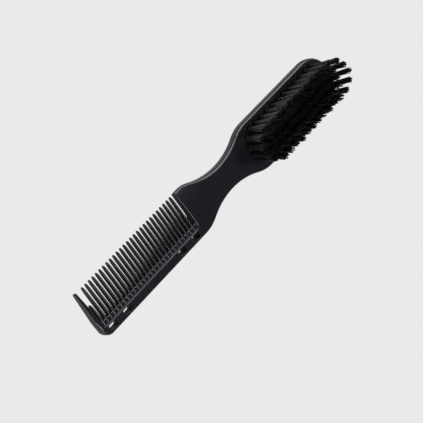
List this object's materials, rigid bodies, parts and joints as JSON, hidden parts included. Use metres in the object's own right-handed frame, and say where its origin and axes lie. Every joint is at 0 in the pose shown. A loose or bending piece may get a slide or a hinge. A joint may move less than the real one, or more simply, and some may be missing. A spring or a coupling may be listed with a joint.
{
  "type": "barber fade brush",
  "caption": "Barber's fade brush: a comb at one end, a waisted grip, and a round-ended brush head with short stiff bristle tufts on one face.",
  "frame": {"origin": "centre of the outline, on the flat back of the grip and head", "axes": "+X from the comb end to the brush head end, +Y towards the tooth tips, +Z out of the bristle face"},
  "size_m": [0.1876, 0.0254, 0.0204],
  "materials": {
    "moulded_plastic": "black injection-moulded plastic, satin with a fine moulded grain",
    "bristle_nylon": "black nylon bristles, slightly glossy along the strands"
  },
  "bodies": {
    "root": {"comb_grip_and_head": "moulded_plastic", "tuft_left_01": "bristle_nylon", "tuft_left_02": "bristle_nylon", "tuft_left_03": "bristle_nylon", "tuft_left_04": "bristle_nylon", "tuft_left_05": "bristle_nylon", "tuft_left_06": "bristle_nylon", "tuft_left_07": "bristle_nylon", "tuft_left_08": "bristle_nylon", "tuft_left_09": "bristle_nylon", "tuft_left_10": "bristle_nylon", "tuft_left_11": "bristle_nylon", "tuft_left_12": "bristle_nylon", "tuft_right_01": "bristle_nylon", "tuft_right_02": "bristle_nylon", "tuft_right_03": "bristle_nylon", "tuft_right_04": "bristle_nylon", "tuft_right_05": "bristle_nylon", "tuft_right_06": "bristle_nylon", "tuft_right_07": "bristle_nylon", "tuft_right_08": "bristle_nylon", "tuft_right_09": "bristle_nylon", "tuft_right_10": "bristle_nylon", "tuft_right_11": "bristle_nylon", "tuft_right_12": "bristle_nylon", "tuft_near_1": "bristle_nylon", "tuft_near_2": "bristle_nylon", "tuft_near_3": "bristle_nylon", "tuft_near_4": "bristle_nylon", "tuft_far_1": "bristle_nylon", "tuft_far_2": "bristle_nylon", "tuft_far_3": "bristle_nylon", "tuft_far_4": "bristle_nylon", "tuft_pair_left_1": "bristle_nylon", "tuft_pair_left_2": "bristle_nylon", "tuft_pair_left_3": "bristle_nylon", "tuft_pair_left_4": "bristle_nylon", "tuft_pair_left_5": "bristle_nylon", "tuft_pair_left_6": "bristle_nylon", "tuft_pair_middle_1": "bristle_nylon", "tuft_pair_middle_2": "bristle_nylon", "tuft_pair_middle_3": "bristle_nylon", "tuft_pair_middle_4": "bristle_nylon", "tuft_pair_middle_5": "bristle_nylon", "tuft_pair_middle_6": "bristle_nylon", "tuft_pair_right_1": "bristle_nylon", "tuft_pair_right_2": "bristle_nylon", "tuft_pair_right_3": "bristle_nylon", "tuft_pair_right_4": "bristle_nylon", "tuft_pair_right_5": "bristle_nylon", "tuft_pair_right_6": "bristle_nylon"}
  },
  "joints": []
}
